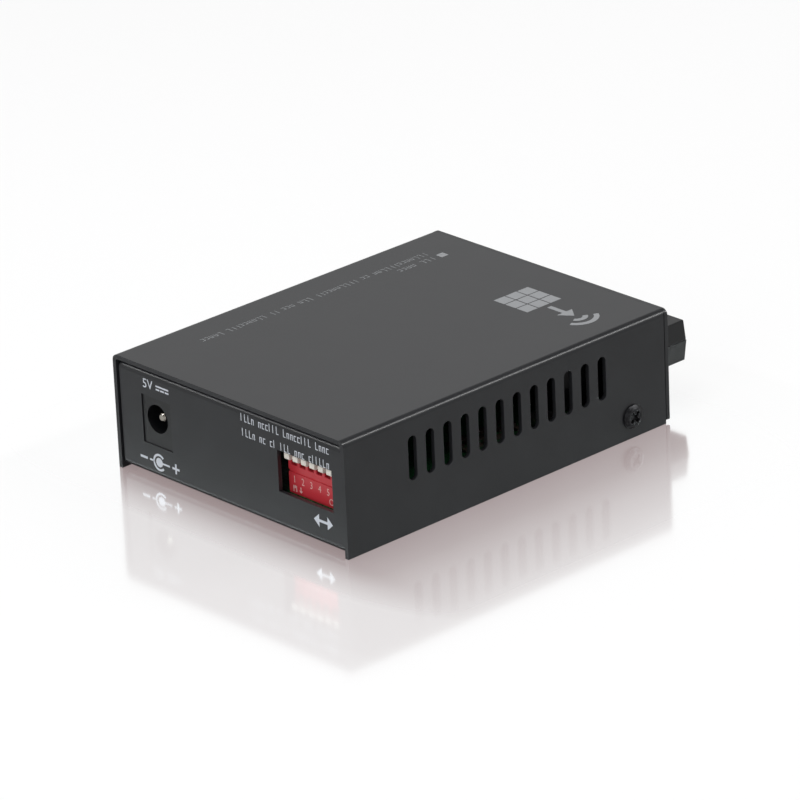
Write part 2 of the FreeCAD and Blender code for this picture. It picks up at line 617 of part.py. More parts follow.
def dip_switch_cover():
    """Moulded cover with six slots and a groove, open at the back for the base."""
    half = switch_length() / 2
    top = BOARD_TOP + SWITCH_HEIGHT
    cover = block(SWITCH_X - half, SWITCH_X + half, SWITCH_FACE_Y - SWITCH_DEPTH, SWITCH_FACE_Y,
                  BOARD_TOP, top)
    inside = half - SWITCH_SKIN
    cover = cover.cut(block(SWITCH_X - inside, SWITCH_X + inside, SWITCH_FACE_Y - SWITCH_DEPTH - 1,
                            SWITCH_FACE_Y - SWITCH_SKIN, BOARD_TOP + SWITCH_SKIN / 2,
                            top - SWITCH_SKIN / 2))
    slot_top = BOARD_TOP + LEVER_TOP + LEVER_PLAY
    slot_low = BOARD_TOP + LEVER_TOP - LEVER_HEIGHT - LEVER_TRAVEL - LEVER_PLAY
    cutters = [block(x - LEVER_WIDTH / 2 - LEVER_PLAY, x + LEVER_WIDTH / 2 + LEVER_PLAY,
                     SWITCH_FACE_Y - 2 * SWITCH_SKIN, SWITCH_FACE_Y + 1, slot_low, slot_top)
               for x in lever_places()]
    groove = BOARD_TOP + GROOVE_HEIGHT
    cutters.append(block(SWITCH_X - half - 1, SWITCH_X + half + 1, SWITCH_FACE_Y - GROOVE_DEPTH,
                         SWITCH_FACE_Y + 1, groove - GROOVE_WIDTH / 2, groove + GROOVE_WIDTH / 2))
    return cover.cut(cutters)


def dip_switch_base():
    """Block inside the cover: the levers' feet slide on its face, between its two rims."""
    inside = switch_length() / 2 - SWITCH_SKIN - SWITCH_PLAY
    y0, y1, foot_low, foot_top = foot_space()
    low = BOARD_TOP + SWITCH_SKIN / 2 + SWITCH_PLAY
    top = BOARD_TOP + SWITCH_HEIGHT - SWITCH_SKIN / 2 - SWITCH_PLAY
    base = block(SWITCH_X - inside, SWITCH_X + inside, SWITCH_FACE_Y - SWITCH_DEPTH,
                 y1 - SWITCH_PLAY, low, top)
    tray = block(SWITCH_X - inside - 1, SWITCH_X + inside + 1, y0, y1 + 1, foot_low, foot_top)
    return base.cut(tray)


def dip_lever(x):
    """Lever at rest in the upper position: a nub through the slot and a wider foot."""
    y0, y1, foot_low, foot_top = foot_space()
    top = BOARD_TOP + LEVER_TOP
    nub = block(x - LEVER_WIDTH / 2, x + LEVER_WIDTH / 2, y1 - SWITCH_SKIN / 2,
                SWITCH_FACE_Y + LEVER_RISE, top - LEVER_HEIGHT, top)
    rim = [e for e in nub.Edges if runs_along(e, "x") and e.CenterOfMass.y > SWITCH_FACE_Y]
    nub = nub.makeChamfer(LEVER_EDGE, rim)
    foot = block(x - LEVER_WIDTH / 2 - FOOT_EXTRA, x + LEVER_WIDTH / 2 + FOOT_EXTRA,
                 y0 + SWITCH_PLAY, y1 - SWITCH_PLAY,
                 top - LEVER_HEIGHT - FOOT_EXTRA, top + FOOT_EXTRA)
    return nub.fuse(foot)


def switch_leads():
    rows = (SWITCH_FACE_Y - SWITCH_DEPTH - LEAD, SWITCH_FACE_Y - SWITCH_DEPTH - LEAD - SWITCH_PITCH)
    return [(x, y, LEAD, LEAD) for x in lever_places() for y in rows]


def dip_switch_pins():
    """Bent leads: out of the base's back, then down through the board."""
    back = SWITCH_FACE_Y - SWITCH_DEPTH
    middle = BOARD_TOP + SWITCH_HEIGHT / 2
    near = switch_leads()[0][1]
    made = []
    for x, y, width, depth in switch_leads():
        z = middle - SWITCH_PITCH / 2 if y == near else middle + SWITCH_PITCH / 2
        arm = block(x - width / 2, x + width / 2, y - depth / 2, back, z - LEAD / 2, z + LEAD / 2)
        made.append(arm.fuse(lead(x, y, z + LEAD / 2)))
    return made


# ---- Duplex fibre transceiver ---------------------------------------------------------
def port_places():
    return [FIBRE_X + side * PORT_PITCH / 2 for side in (-1, 1)]


def half_shell(side):
    """One half of the housing's outer form. It tapers away from the parting plane."""
    outlines = []
    for shrink, z in ((0, PARTING_Z), (FIBRE_DRAFT, PARTING_Z + side * FIBRE_HEIGHT / 2)):
        x = FIBRE_WIDTH / 2 - shrink
        outlines.append(Part.makePolygon([Vector(FIBRE_X - x, MOUTH_Y + shrink, z),
                                          Vector(FIBRE_X + x, MOUTH_Y + shrink, z),
                                          Vector(FIBRE_X + x, FIBRE_REAR - shrink, z),
                                          Vector(FIBRE_X - x, FIBRE_REAR - shrink, z),
                                          Vector(FIBRE_X - x, MOUTH_Y + shrink, z)]))
    return Part.makeLoft(outlines, True, True)


def pocket_limits():
    """Y limits of the room behind the ports' bulkhead."""
    return MOUTH_Y + PORT_DEPTH + FIBRE_BULKHEAD, FIBRE_REAR - FIBRE_DRAFT - FIBRE_WALL


def fibre_cutters():
    """Ports with their keyways, barrel seats and the rear pocket, shared by both halves."""
    cutters = []
    for x in port_places():
        half = PORT_HEIGHT / 2
        cutters.append(block(x - PORT_WIDTH / 2, x + PORT_WIDTH / 2, MOUTH_Y - 1,
                             MOUTH_Y + PORT_DEPTH, PARTING_Z - half, PARTING_Z + half))
        cutters.append(block(x - KEYWAY_WIDTH / 2, x + KEYWAY_WIDTH / 2, MOUTH_Y - 1,
                             MOUTH_Y + PORT_DEPTH, PARTING_Z, PARTING_Z + half + KEYWAY_DEPTH))
        seat = SLEEVE_RADIUS + BARREL_PLAY
        cutters.append(rod(seat, x, MOUTH_Y + PORT_DEPTH - 1, PARTING_Z, (0, 1, 0),
                           FIBRE_BULKHEAD + 2))
    y0, y1 = pocket_limits()
    half = FIBRE_HEIGHT / 2 - FIBRE_WALL
    side = FIBRE_WIDTH / 2 - FIBRE_DRAFT - FIBRE_WALL
    cutters.append(block(FIBRE_X - side, FIBRE_X + side, y0, y1, PARTING_Z - half, PARTING_Z + half))
    for x, y, width, depth in fibre_leads()[:FIBRE_PINS]:
        cutters.append(centred(x, y, FIBRE_Z - 1, width + 2 * LEAD_PLAY, depth + 2 * LEAD_PLAY,
                               FIBRE_WALL + 2))
    return cutters


def fibre_post_places():
    y = FIBRE_REAR - FIBRE_POST_INSET
    return [(FIBRE_X + side * FIBRE_POST_SPREAD / 2, y) for side in (-1, 1)]


def transceiver_upper_shell():
    return half_shell(1).cut(fibre_cutters())


def transceiver_lower_shell():
    """Lower half, with two solder posts that also hold it off the board."""
    shell = half_shell(-1).cut(fibre_cutters())
    for x, y in fibre_post_places():
        foot = centred(x, y, BOARD_TOP, 2 * FIBRE_POST, 2 * FIBRE_POST, FIBRE_LIFT)
        shell = shell.fuse([foot, lead(x, y, BOARD_TOP, FIBRE_POST, FIBRE_POST)])
    return shell


def optical_barrel(x):
    """Turned barrel: ferrule sleeve, neck in the bulkhead and device can."""
    tip = SLEEVE_LENGTH
    shoulder = -FIBRE_BULKHEAD
    end = shoulder - BARREL_CAN_LENGTH
    floor = shoulder + FIBRE_BULKHEAD / 2
    profile = [(0, end), (BARREL_CAN, end), (BARREL_CAN, shoulder), (SLEEVE_RADIUS, shoulder),
               (SLEEVE_RADIUS, tip), (FERRULE_BORE, tip), (FERRULE_BORE, floor), (0, floor)]
    return lathe(profile, x, MOUTH_Y + PORT_DEPTH, PARTING_Z, (0, -1, 0))


def latch_inserts():
    """Plate and two hooked arms in each port, which hold the plug."""
    made = []
    half = PORT_WIDTH / 2 - LATCH_PLAY
    height = PORT_HEIGHT / 2 - LATCH_PLAY
    back = MOUTH_Y + PORT_DEPTH - LATCH_PLAY
    front = back - LATCH_PLATE
    tip = front - LATCH_LENGTH
    for x in port_places():
        insert = block(x - half, x + half, front, back, PARTING_Z - height, PARTING_Z + height)
        for side in (-1, 1):
            outline = [(0, back), (0, tip), (LATCH_ARM, tip),
                       (LATCH_ARM + LATCH_HOOK, tip + HOOK_PEAK),
                       (LATCH_ARM, tip + HOOK_LENGTH), (LATCH_ARM, back)]
            points = [(x + side * (half - a), y, PARTING_Z - height / 2) for a, y in outline]
            insert = insert.fuse(prism(points, (0, 0, height)))
        hole = rod(SLEEVE_RADIUS + BARREL_PLAY, x, front - 1, PARTING_Z, (0, 1, 0), LATCH_PLATE + 2)
        made.append(insert.cut(hole))
    return made


def fibre_leads():
    """Pin row of the transceiver, then its two posts."""
    y = FIBRE_REAR - FIBRE_PIN_INSET
    first = FIBRE_X - (FIBRE_PINS - 1) * PIN_PITCH / 2
    row = [(first + i * PIN_PITCH, y, LEAD, LEAD) for i in range(FIBRE_PINS)]
    return row + [(x, y, FIBRE_POST, FIBRE_POST) for x, y in fibre_post_places()]


def inner_board_top():
    return FIBRE_Z + FIBRE_WALL + INNER_BOARD_THICKNESS


def transceiver_board():
    """Small board on the floor of the rear pocket, behind the barrels."""
    y0, y1 = pocket_limits()
    y0 += BARREL_CAN_LENGTH + 2 * SEAT
    half = FIBRE_WIDTH / 2 - FIBRE_DRAFT - FIBRE_WALL - SEAT
    board = block(FIBRE_X - half, FIBRE_X + half, y0, y1 - SEAT, inner_board_top() - INNER_BOARD_THICKNESS,
                  inner_board_top())
    holes = [centred(x, y, FIBRE_Z, width + 2 * LEAD_PLAY, depth + 2 * LEAD_PLAY, FIBRE_HEIGHT)
             for x, y, width, depth in fibre_leads()[:FIBRE_PINS]]
    return board.cut(holes)


def transceiver_pins():
    return [lead(x, y, inner_board_top() + LEAD, width, depth)
            for x, y, width, depth in fibre_leads()[:FIBRE_PINS]]


# ---- Network jack ---------------------------------------------------------------------
def contact_places():
    first = NET_X - (CONTACTS - 1) * CONTACT_PITCH / 2
    return [first + i * CONTACT_PITCH for i in range(CONTACTS)]


def net_leads():
    """One lead for each contact, in two staggered rows, then the shield's two tabs."""
    rows = (NET_REAR - CONTACT_ROW, NET_REAR - CONTACT_ROW - PIN_PITCH)
    pins = [(x, rows[i % 2], LEAD, LEAD) for i, x in enumerate(contact_places())]
    edge = NET_WIDTH / 2 + NET_PLAY + NET_SHIELD / 2
    tabs = [(NET_X + side * edge, (NET_FRONT + NET_REAR) / 2, NET_SHIELD, SHIELD_TAB)
            for side in (-1, 1)]
    return pins + tabs


def rj45_housing():
    """Moulded housing with a stepped plug opening, tab at the bottom."""
    body = centred(NET_X, (NET_FRONT + NET_REAR) / 2, BOARD_TOP, NET_WIDTH, NET_LENGTH, NET_HEIGHT)
    y1 = NET_FRONT + PLUG_DEPTH
    opening = block(NET_X - PLUG_WIDTH / 2, NET_X + PLUG_WIDTH / 2, NET_FRONT - 1, y1,
                    PLUG_LOW, PLUG_TOP)
    tab = block(NET_X - TAB_WIDTH / 2, NET_X + TAB_WIDTH / 2, NET_FRONT - 1, y1,
                PLUG_LOW - TAB_HEIGHT, PLUG_TOP)
    low = PLUG_LOW - TAB_HEIGHT - TAB_SLOT_HEIGHT
    slot = block(NET_X - TAB_SLOT_WIDTH / 2, NET_X + TAB_SLOT_WIDTH / 2, NET_FRONT - 1, y1,
                 low, PLUG_TOP)
    cutters = [opening, tab, slot]
    roof = CONTACT_TOP + LEAD_PLAY
    for x, y, width, depth in net_leads()[:CONTACTS]:
        room = width / 2 + LEAD_PLAY
        cutters.append(block(x - room, x + room, y - room, y + room, BOARD_TOP - 1, roof))
        cutters.append(block(x - room, x + room, y1 - 1, y, CONTACT_TOP - LEAD - LEAD_PLAY, roof))
    return body.cut(cutters)


def rj45_contacts():
    """Gold springs that slope down into the opening, each on a lead at the back."""
    made = []
    top = CONTACT_TOP
    half = CONTACT_WIDTH / 2
    for x, y, width, depth in net_leads()[:CONTACTS]:
        root = (NET_FRONT + PLUG_DEPTH - CONTACT_ROOT, top - LEAD)
        tip = (root[0] - CONTACT_SLOPE, root[1] - CONTACT_DROP)
        spring = prism([(x - half, root[0], root[1]), (x - half, tip[0], tip[1]),
                        (x - half, tip[0], tip[1] + CONTACT_WIDTH),
                        (x - half, root[0], root[1] + LEAD)], (CONTACT_WIDTH, 0, 0))
        arm = block(x - half, x + half, root[0], y + depth / 2, top - LEAD, top)
        made.append(spring.fuse([arm, lead(x, y, top, CONTACT_WIDTH, depth)]))
    return made


def rj45_shield():
    """Tinned sheet folded round the housing, with a front frame and two board tabs."""
    gap = NET_PLAY
    half = NET_WIDTH / 2 + gap
    top = BOARD_TOP + NET_HEIGHT + gap
    outer = block(NET_X - half - NET_SHIELD, NET_X + half + NET_SHIELD, NET_FRONT - NET_SHIELD,
                  NET_REAR + gap + NET_SHIELD, BOARD_TOP, top + NET_SHIELD)
    inner = block(NET_X - half, NET_X + half, NET_FRONT, NET_REAR + gap, BOARD_TOP - 1, top)
    mouth = block(NET_X - PLUG_WIDTH / 2, NET_X + PLUG_WIDTH / 2, NET_FRONT - 2, NET_FRONT + 1,
                  PLUG_LOW, PLUG_TOP)
    tab = block(NET_X - TAB_WIDTH / 2, NET_X + TAB_WIDTH / 2, NET_FRONT - 2, NET_FRONT + 1,
                PLUG_LOW - TAB_HEIGHT - TAB_SLOT_HEIGHT, PLUG_TOP)
    shield = outer.cut([inner, mouth, tab])
    for x, y, width, depth in net_leads()[CONTACTS:]:
        shield = shield.fuse(lead(x, y, BOARD_TOP + 1, width, depth))
    return shield


# ---- Lamps ----------------------------------------------------------------------------
def holder_back():
    return FRONT_INNER_Y + HOLDER_PANEL_GAP + HOLDER_DEPTH


def led_holder():
    """Moulded block that carries the lamps behind their holes in the front wall."""
    height = LAMP_SILL + LAMP_ROWS * (LAMP_HEIGHT + LAMP_ROW_GAP) - LAMP_ROW_GAP + HOLDER_WALL
    y0 = FRONT_INNER_Y + HOLDER_PANEL_GAP
    body = block(HOLDER_X - HOLDER_WIDTH / 2, HOLDER_X + HOLDER_WIDTH / 2, y0, holder_back(),
                 BOARD_TOP, BOARD_TOP + height)
    pockets = [lamp_block(x, z, y0 - 1, holder_back() + 1, LAMP_PLAY) for x, z in lamp_places()]
    return body.cut(pockets)


def status_led(x, z):
    """Rectangular lens with a broken front edge."""
    front = FRONT_Y - LAMP_PROUD
    lens = lamp_block(x, z, front, front + LAMP_LENGTH)
    rim = [e for e in lens.Edges if abs(e.CenterOfMass.y - front) < LAMP_EDGE]
    return lens.makeChamfer(LAMP_EDGE, rim)


def lamp_lead_rows():
    """Y of each lamp row's leads: the upper row stands further back."""
    return [holder_back() + LEAD + row * PIN_PITCH for row in range(LAMP_ROWS)]


def lamp_leads():
    leads = []
    for i, (x, z) in enumerate(lamp_places()):
        y = lamp_lead_rows()[i // LAMP_COLUMNS]
        leads += [(x + side * LAMP_WIDTH / 3, y, LEAD, LEAD) for side in (-1, 1)]
    return leads


def led_leads():
    """Bent leads from the back of each lens."""
    made = []
    back = FRONT_Y - LAMP_PROUD + LAMP_LENGTH
    for i, (x, y, width, depth) in enumerate(lamp_leads()):
        z = lamp_places()[i // 2][1]
        arm = block(x - width / 2, x + width / 2, back, y + depth / 2, z - LEAD / 2, z + LEAD / 2)
        made.append(arm.fuse(lead(x, y, z + LEAD / 2)))
    return made


# ---- Parts on the board ---------------------------------------------------------------
def gull_leads(x, y, reach, count, pitch, width, along, rise):
    """Two rows of flat feet on the board, reach away from the body's middle line."""
    feet = []
    for side in (-1, 1):
        for i in range(count):
            shift = (i - (count - 1) / 2) * pitch
            inner, outer = sorted((side * (reach - 1.6 * CHIP_LEAD_REACH), side * reach))
            spot = ((x + shift - width / 2, x + shift + width / 2, y + inner, y + outer)
                    if along == "x" else
                    (x + inner, x + outer, y + shift - width / 2, y + shift + width / 2))
            feet.append(block(*spot, BOARD_TOP, BOARD_TOP + rise))
    return feet


def controller_chip():
    """Flat square package with feet on its four sides."""
    x, y = FIBRE_X + FIBRE_WIDTH / 2 - CHIP_INSET, FIBRE_REAR + CHIP_SETBACK
    body = centred(x, y, BOARD_TOP + SEAT, CHIP_SIZE, CHIP_SIZE, CHIP_HEIGHT)
    reach = CHIP_SIZE / 2 + CHIP_LEAD_REACH
    feet = [foot for along in "xy" for foot in
            gull_leads(x, y, reach, CHIP_LEAD_COUNT, CHIP_LEAD_PITCH, CHIP_LEAD_WIDTH, along, LEAD_FRAME)]
    return body.fuse(feet)


def transformer_module():
    width, depth, height = TRANSFORMER
    x, y = NET_X, NET_REAR + depth / 2 + TRANSFORMER_SETBACK
    body = centred(x, y, BOARD_TOP + SEAT, width, depth, height)
    reach = depth / 2 + CHIP_LEAD_REACH
    return body.fuse(gull_leads(x, y, reach, TRANSFORMER_LEAD_COUNT, CHIP_LEAD_PITCH,
                                CHIP_LEAD_WIDTH, "x", LEAD_FRAME))


def clock_crystal():
    """Drawn metal can with round ends."""
    x, y = NET_X + CRYSTAL_SHIFT, MID_Y + CRYSTAL_SHIFT
    radius = CRYSTAL_WIDTH / 2
    half = CRYSTAL_LENGTH / 2 - radius
    edges = [Part.LineSegment(Vector(-half, -radius, 0), Vector(half, -radius, 0)),
             Part.Arc(Vector(half, -radius, 0), Vector(half + radius, 0, 0), Vector(half, radius, 0)),
             Part.LineSegment(Vector(half, radius, 0), Vector(-half, radius, 0)),
             Part.Arc(Vector(-half, radius, 0), Vector(-half - radius, 0, 0),
                      Vector(-half, -radius, 0))]
    can = Part.Face(Part.Wire([edge.toShape() for edge in edges])).extrude(Vector(0, 0, CRYSTAL_HEIGHT))
    can.translate(Vector(x, y, BOARD_TOP))
    return can


def voltage_regulator():
    """Power package: body on a heat tab, with three feet."""
    width, depth, height = REGULATOR
    x, y = JACK_X, JACK_REAR_Y - REGULATOR_SETBACK
    top = BOARD_TOP + LEAD_FRAME
    body = centred(x, y, top, width, depth, height - LEAD_FRAME)
    half = REGULATOR_TAB / 2
    tab = block(x - half, x + half, y, y + depth / 2 + TAB_REACH, BOARD_TOP, top)
    half = REGULATOR_FOOT / 2
    feet = [block(x + side * REGULATOR_PITCH - half, x + side * REGULATOR_PITCH + half,
                  y - depth / 2 - FOOT_REACH, y, BOARD_TOP, top) for side in (-1, 0, 1)]
    return body.fuse([tab] + feet)


def power_inductor():
    """Shielded square inductor with cut corners and a round core on top."""
    x, y = JACK_X - INDUCTOR_PLACE[0], JACK_REAR_Y - INDUCTOR_PLACE[1]
    body = centred(x, y, BOARD_TOP, INDUCTOR_SIZE, INDUCTOR_SIZE, INDUCTOR_HEIGHT)
    edges = [e for e in body.Edges if runs_along(e, "z")]
    body = body.makeChamfer(INDUCTOR_CORNER, edges)
    low = BOARD_TOP + INDUCTOR_HEIGHT
    return body.fuse(rod(CORE_RADIUS, x, y, low, (0, 0, 1), CORE_RISE))


def capacitor_places():
    """Two by the power jack, and one by the switch."""
    near_jack = [(JACK_X + x, JACK_REAR_Y - y) for x, y in JACK_CAPACITORS]
    x, y = SWITCH_CAPACITOR
    return near_jack + [(SWITCH_X + x, SWITCH_FACE_Y - y)]


def filter_capacitor(x, y):
    """Drawn can on a square moulded base."""
    base = centred(x, y, BOARD_TOP, CAPACITOR_BASE, CAPACITOR_BASE, CAPACITOR_BASE_HEIGHT)
    r, h = CAPACITOR_RADIUS, CAPACITOR_HEIGHT
    low = CAPACITOR_BASE_HEIGHT
    can = rod(r, x, y, BOARD_TOP + low, (0, 0, 1), h - low)
    return base.fuse(can)


def chip_components():
    """Small resistors and capacitors soldered in two rows beside the controller."""
    width, depth, height = CHIP_PART
    x0, y0 = FIBRE_X - CHIP_PART_PLACE[0], FIBRE_REAR + CHIP_PART_PLACE[1]
    spots = [(x0 - CHIP_PART_PITCH[0] * column, y0 + CHIP_PART_PITCH[1] * row)
             for column in range(CHIP_PART_COLUMNS) for row in range(CHIP_PART_ROWS)]
    return [centred(x, y, BOARD_TOP, depth, width, height) for x, y in spots]


# ---- Write the pieces -----------------------------------------------------------------
def main():
    os.makedirs("parts", exist_ok=True)
    save("top_cover", top_cover())
    save("chassis_tray", chassis_tray())
    save("cover_screws", *cover_screws())
    leads = jack_leads() + switch_leads() + fibre_leads() + net_leads() + lamp_leads()
    save("circuit_board", circuit_board(leads))
    save("board_standoffs", *standoffs())
    save("board_screws", *board_screws())
    save("dc_jack_housing", dc_jack_housing())
    save("dc_jack_centre_pin", dc_jack_centre_pin())
    save("dc_jack_spring_contact", dc_jack_spring_contact())
    save("dip_switch_cover", dip_switch_cover())
    save("dip_switch_base", dip_switch_base())
    save("dip_switch_pins", *dip_switch_pins())
    for number, x in enumerate(lever_places(), 1):
        save(f"dip_lever_{number}", dip_lever(x))
    save("transceiver_upper_shell", transceiver_upper_shell())
    save("transceiver_lower_shell", transceiver_lower_shell())
    for name, x in zip(("transmit", "receive"), port_places()):
        save(name + "_optical_barrel", optical_barrel(x))
    save("sc_latch_inserts", *latch_inserts())
    save("transceiver_board", transceiver_board())
    save("transceiver_pins", *transceiver_pins())
    save("rj45_housing", rj45_housing())
    save("rj45_shield", rj45_shield())
    save("rj45_contacts", *rj45_contacts())
    save("led_holder", led_holder())
    for number, (x, z) in enumerate(lamp_places(), 1):
        save(f"status_led_{number}", status_led(x, z))
    save("led_leads", *led_leads())
    save("controller_chip", controller_chip())
    save("transformer_module", transformer_module())
    save("clock_crystal", clock_crystal())
    save("voltage_regulator", voltage_regulator())
    save("power_inductor", power_inductor())
    for number, (x, y) in enumerate(capacitor_places(), 1):
        save(f"filter_capacitor_{number}", filter_capacitor(x, y))
    save("chip_components", *chip_components())


main()
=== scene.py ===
import json
import math

import bmesh
import bpy
from mathutils import Euler, Matrix, Vector


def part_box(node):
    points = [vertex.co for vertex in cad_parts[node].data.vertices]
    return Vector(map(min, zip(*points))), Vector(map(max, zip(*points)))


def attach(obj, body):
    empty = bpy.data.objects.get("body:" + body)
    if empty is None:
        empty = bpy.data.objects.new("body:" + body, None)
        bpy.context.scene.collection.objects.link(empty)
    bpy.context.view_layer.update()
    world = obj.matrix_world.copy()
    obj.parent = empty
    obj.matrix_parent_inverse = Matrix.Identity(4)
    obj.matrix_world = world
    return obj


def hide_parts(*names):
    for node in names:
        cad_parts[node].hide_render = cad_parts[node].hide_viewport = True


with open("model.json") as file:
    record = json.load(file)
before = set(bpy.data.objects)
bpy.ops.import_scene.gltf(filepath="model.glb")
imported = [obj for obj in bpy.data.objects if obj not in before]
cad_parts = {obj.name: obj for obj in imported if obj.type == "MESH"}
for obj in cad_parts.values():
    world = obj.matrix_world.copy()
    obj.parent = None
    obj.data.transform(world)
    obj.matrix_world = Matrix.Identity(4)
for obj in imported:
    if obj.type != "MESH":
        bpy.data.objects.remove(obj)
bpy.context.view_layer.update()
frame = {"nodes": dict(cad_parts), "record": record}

NODES = frame["nodes"]
MM = 0.001

# ---- Sizes of the dressing, in millimetres ---------------------------------------------
SEAM = 0.2                  # shadow line between the cover and the front wall
SEAM_FADE = 1.5             # the gap closes over this height below the roof
SHEET_EDGE = 0.16           # broken edge of cut sheet
BROKEN_EDGES = {            # every node with a dressed copy, and its broken edge
    "top_cover": SHEET_EDGE, "chassis_tray": SHEET_EDGE, "dc_jack_housing": 0.2,
    "dip_switch_cover": 0.1, "transceiver_upper_shell": 0.25,
    "transceiver_lower_shell": 0.25, "rj45_housing": 0.15, "led_holder": 0.3,
    "cover_screws": 0.08}
BREAK_ABOVE = 40            # degrees: edges sharper than this are broken
CRISP_ABOVE = 32            # degrees: edges sharper than this stay crisp in the shading
FLAT_BELOW = 1              # degrees: faces that bend less than this become one
INK_THICKNESS = 0.02
INK_SINK = 0.005            # ink set into its surface, so that no gap shows under it
CAPITAL = 0.69              # height of the font's capitals, as a share of its size
LOW_MARK = 0.72             # height of a low mark of small print, as a share of a tall one
MARK_SHARE = 0.66           # width of a mark, as a share of the way to the next
REAR_PRINT, ROOF_PRINT = 1.75, 1.8      # height of the small print
TILE = 3.2                  # square of the roof's pictogram
TILE_PITCH = 3.5
SWITCH_WAYS = 6
SWITCH_PITCH = 2.54         # from one lever to the next
COVER_LOW, COVER_HIGH = (Vector(c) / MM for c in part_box("top_cover"))
TRAY_LOW, TRAY_HIGH = (Vector(c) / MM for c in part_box("chassis_tray"))
SWITCH_LOW, SWITCH_HIGH = (Vector(c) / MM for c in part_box("dip_switch_cover"))
JACK_LOW, JACK_HIGH = (Vector(c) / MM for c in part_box("dc_jack_housing"))
ROOF = COVER_HIGH.z
PANEL_Y = TRAY_HIGH.y       # outer face of the rear wall
MIDDLE_Y = (TRAY_LOW.y + COVER_HIGH.y) / 2      # of the case, front wall included
JACK_X = (JACK_LOW.x + JACK_HIGH.x) / 2
SAME_SPOT = 1e-6            # metres: corners nearer than this are one

# Places of the prints: heights, X and Z on the rear wall, X on the roof, and for the
# pictogram X and the way from MIDDLE_Y.
POLARITY_Z, RATING_Z = 4.5, 21.7
FINE_PRINT_AT, TWO_WAY_AT = (-17.6, 21.05), (-28.1, 6.1)
NUMBER_Z, WORD_Z = 11.35, 9.35
SHORT_LINE_X, LONG_LINE_X = 23.2, 26.2
PICTOGRAM_AT = (-15.8, -31.4)

# ---- Camera ----------------------------------------------------------------------------
LENS, SENSOR = 249.7, 36            # millimetres
BEARING, ELEVATION, ROLL = (math.radians(angle) for angle in (227.576, 23.05, -2.556))
AIM = Vector((-1.70, 5.79, 10.65)) * MM
DISTANCE = 1.17686                  # metres from the aim to the lens

# ---- Studio: brightness is 1 for the white that the camera sees ------------------------
BACKDROP = 0.66             # brightness of the far backdrop in reflections
REAR_BACKDROP = 0.46        # and of the one that the rear wall reflects
SURROUND = 0.3              # and of everything else at their height
# The way to each backdrop, the cosines between which it rises, and its brightness. Roof and
# table mirror the first. The rear wall mirrors the second by way of the table.
BACKDROPS = (((0.72, -0.62, 0.42), 0.4, 0.95, BACKDROP),
             ((0.54, 0.70, 0.40), 0.7, 0.97, REAR_BACKDROP))
CEILING_SHARE = 0.16        # what the ceiling keeps of that brightness
CEILING_RISE = (0.45, 0.68)     # Z of a direction between which it dims
COOL_WHITE = (0.94, 0.94, 1.0)

# ---- Table -----------------------------------------------------------------------------
TABLE_HALF = 4              # metres
FADE_REACH = 0.1            # metres from the case to where the table's gloss is gone
SIDE_WEIGHT = 0.35          # how much the way out at the sides counts
# Share of the table's gloss, from the foot of the case at 0 to FADE_REACH at 1.
FADE = ((0, 0.7), (0.035, 0.62), (0.075, 0.46), (0.14, 0.26), (0.3, 0.25), (0.5, 0.13), (1, 0))
GLOSS_RED = 0.9             # the gloss gives back a little less red than green and blue
GLOSS_ROUGHNESS = 0.1
# The camera sees the backdrop's reflection and the table's own glow at 1. The case gets
# them weaker, so that its walls stay dark.
GLOSS_UNSEEN = 0.65
GLOW_UNSEEN = 0.26
GLOW_SHARE = 0.78           # part of the table's white that glows, and the rest is matt


# ---- Camera and light ------------------------------------------------------------------
def set_camera():
    """Long lens from behind the box's left rear corner, a little above it."""
    data = bpy.data.cameras.new("camera")
    data.lens = LENS
    data.sensor_width = SENSOR
    data.clip_start = 0.05
    data.clip_end = 20
    camera = bpy.data.objects.new("camera", data)
    bpy.context.scene.collection.objects.link(camera)
    upright = Euler((math.pi / 2 - ELEVATION, 0, BEARING)).to_matrix()
    turn = upright @ Matrix.Rotation(ROLL, 3, "Z")
    place = AIM + turn @ Vector((0, 0, DISTANCE))
    camera.matrix_world = Matrix.Translation(place) @ turn.to_4x4()
    bpy.context.scene.camera = camera


def add(tree, kind, links=(), **settings):
    """Add a node. links maps an input to a value or to another node's output."""
    made = tree.nodes.new("ShaderNode" + kind)
    for name, value in settings.items():
        setattr(made, name, value)
    for name, value in dict(links).items():
        if isinstance(value, bpy.types.NodeSocket):
            tree.links.new(value, made.inputs[name])
        else:
            made.inputs[name].default_value = value
    return made


def smooth_range(tree, value, span, low, high):
    """Ease from low to high while the value crosses the span."""
    return add(tree, "MapRange", {"Value": value, "From Min": span[0], "From Max": span[1],
                                  "To Min": low, "To Max": high},
               interpolation_type="SMOOTHSTEP")


